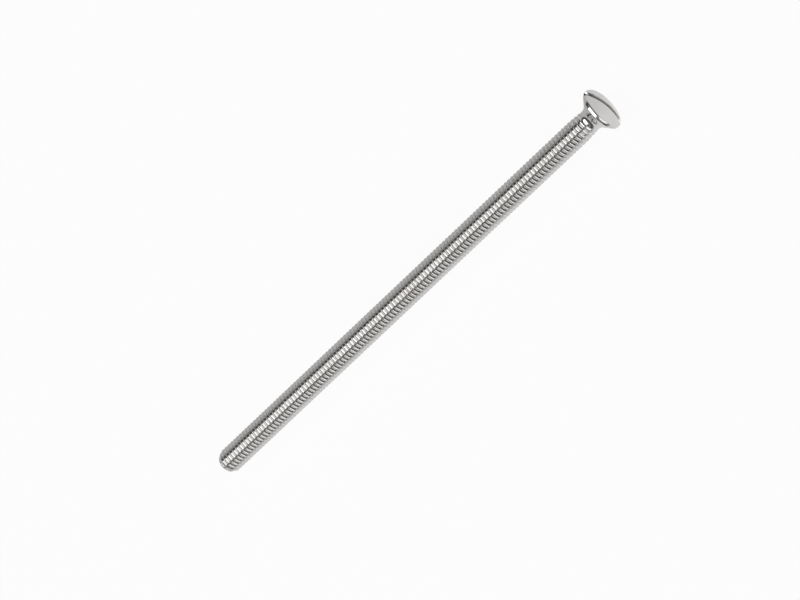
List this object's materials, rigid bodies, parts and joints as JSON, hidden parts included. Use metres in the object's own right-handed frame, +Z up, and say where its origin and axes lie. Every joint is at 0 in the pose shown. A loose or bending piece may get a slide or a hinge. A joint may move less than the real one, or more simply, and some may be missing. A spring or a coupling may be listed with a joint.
{
  "type": "machine screw",
  "caption": "Long slender M3.5 machine screw in nickel-plated steel, with a raised countersunk head, a straight slot and thread along its whole shank.",
  "frame": {"origin": "the point where the screw's axis meets the plane of the head's rim, which lies flush with the surface it is sunk in", "axes": "the screw lies on its side: +X runs along it toward the head, +Z is up, and its axis rises 1.0 degree toward the head"},
  "size_m": [0.0756, 0.006, 0.006],
  "materials": {
    "nickel_plate": "bright nickel plate on steel, slightly worn"
  },
  "bodies": {
    "root": {"screw": "nickel_plate"}
  },
  "joints": []
}
